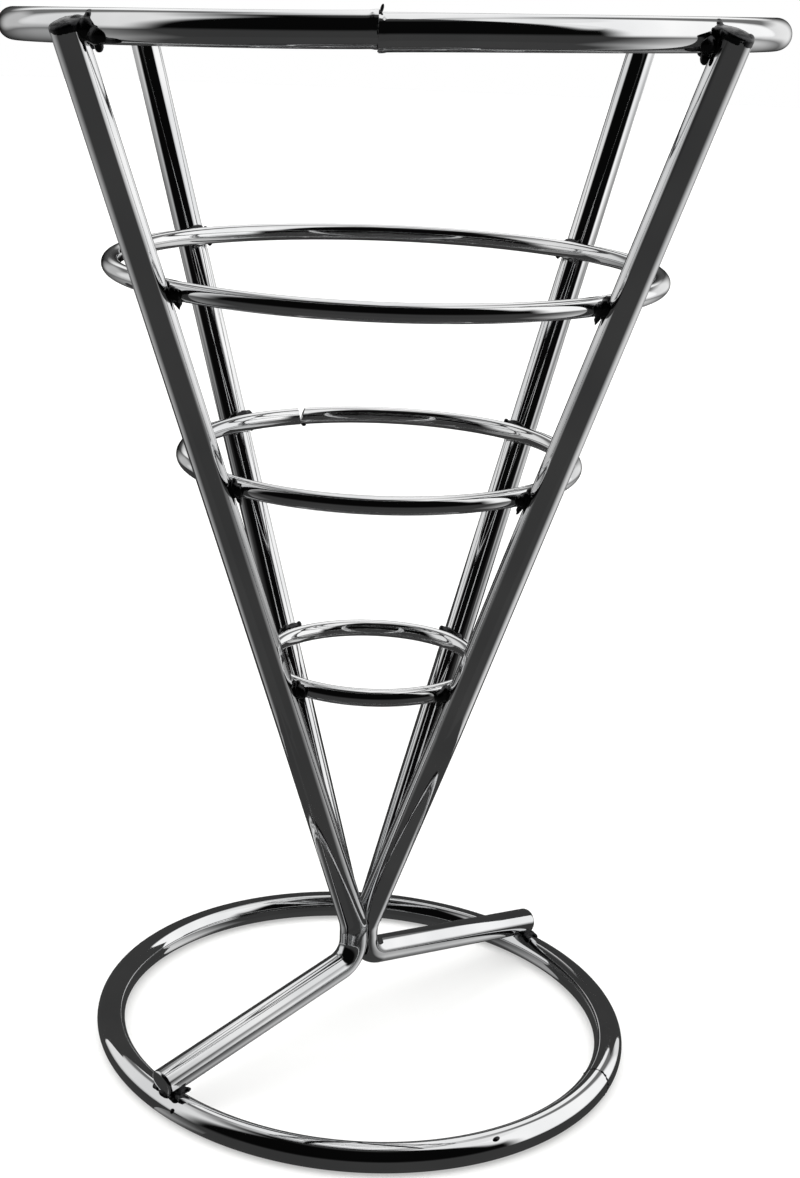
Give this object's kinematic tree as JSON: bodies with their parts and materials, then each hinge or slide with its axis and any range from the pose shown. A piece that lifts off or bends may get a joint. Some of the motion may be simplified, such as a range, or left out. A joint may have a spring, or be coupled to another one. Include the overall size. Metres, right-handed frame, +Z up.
{
  "type": "wire cone basket",
  "caption": "Free-standing cone-shaped wire basket: a round rim over sloping wires and hoops, on two feet and a base ring; holds a cone of snacks.",
  "frame": {"origin": "centre of the base ring, on the table, under the rim's centre", "axes": "+Z up along the cone's axis; the seen side faces -Y, the left foot points to -X -Y and the right foot to +X +Y"},
  "size_m": [0.125, 0.125, 0.1837],
  "materials": {
    "chrome_wire": "polished bright plating on round steel wire, welds plated over"
  },
  "bodies": {
    "root": {"rim_ring": "chrome_wire", "upper_hoop": "chrome_wire", "middle_hoop": "chrome_wire", "lower_hoop": "chrome_wire", "base_ring": "chrome_wire", "front_left_leg": "chrome_wire", "front_right_leg": "chrome_wire", "back_left_upright": "chrome_wire", "back_right_upright": "chrome_wire"}
  },
  "joints": []
}
